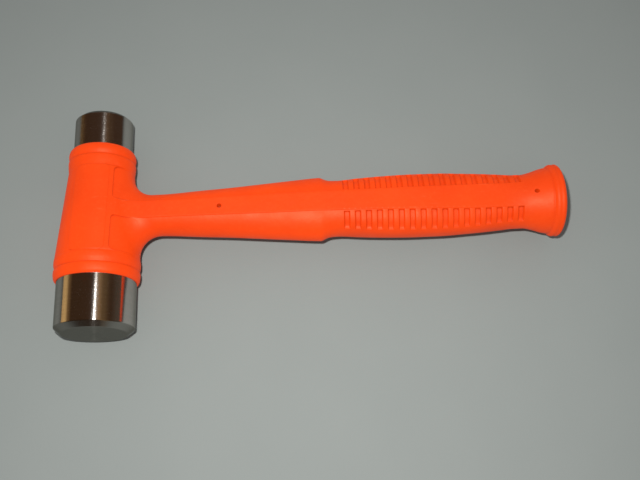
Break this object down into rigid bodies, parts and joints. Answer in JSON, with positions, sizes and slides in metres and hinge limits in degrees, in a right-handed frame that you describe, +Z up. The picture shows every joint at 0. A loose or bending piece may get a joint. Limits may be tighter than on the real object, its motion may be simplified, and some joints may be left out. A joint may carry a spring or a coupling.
{
  "type": "dead blow mallet",
  "caption": "Dead blow mallet with two flat polished steel faces, a one-piece moulded urethane head and ribbed handle, and loose steel shot that damps the rebound.",
  "frame": {"origin": "middle of the mallet's footprint, on the surface that it lies on, with the mallet on its side", "axes": "+X along the handle from the head to the butt, the large face looks along -Y and the small face along +Y, +Z up, square to the plane of head and handle"},
  "size_m": [0.2928, 0.1316, 0.0484],
  "materials": {
    "urethane": "satin moulded urethane",
    "polished_steel": "polished",
    "plain_steel": "drawn and turned",
    "weld_metal": "as welded",
    "shot_steel": "tumbled"
  },
  "bodies": {
    "mallet": {"large_striking_face": "polished_steel", "small_striking_face": "polished_steel", "shot_canister": "plain_steel", "rod_boss": "plain_steel", "core_rod": "plain_steel", "anchor_rings": "plain_steel", "anchor_disc": "plain_steel", "large_face_weld": "weld_metal", "small_face_weld": "weld_metal", "boss_weld": "weld_metal", "rod_weld": "weld_metal", "disc_weld": "weld_metal", "urethane_jacket": "urethane"},
    "shot": {"steel_shot": "shot_steel"}
  },
  "joints": [
    {"name": "shot_slide", "type": "slide", "parent": "mallet", "child": "shot", "axis": [0, 1, 0], "range_m": [-0.0213, 0]}
  ]
}
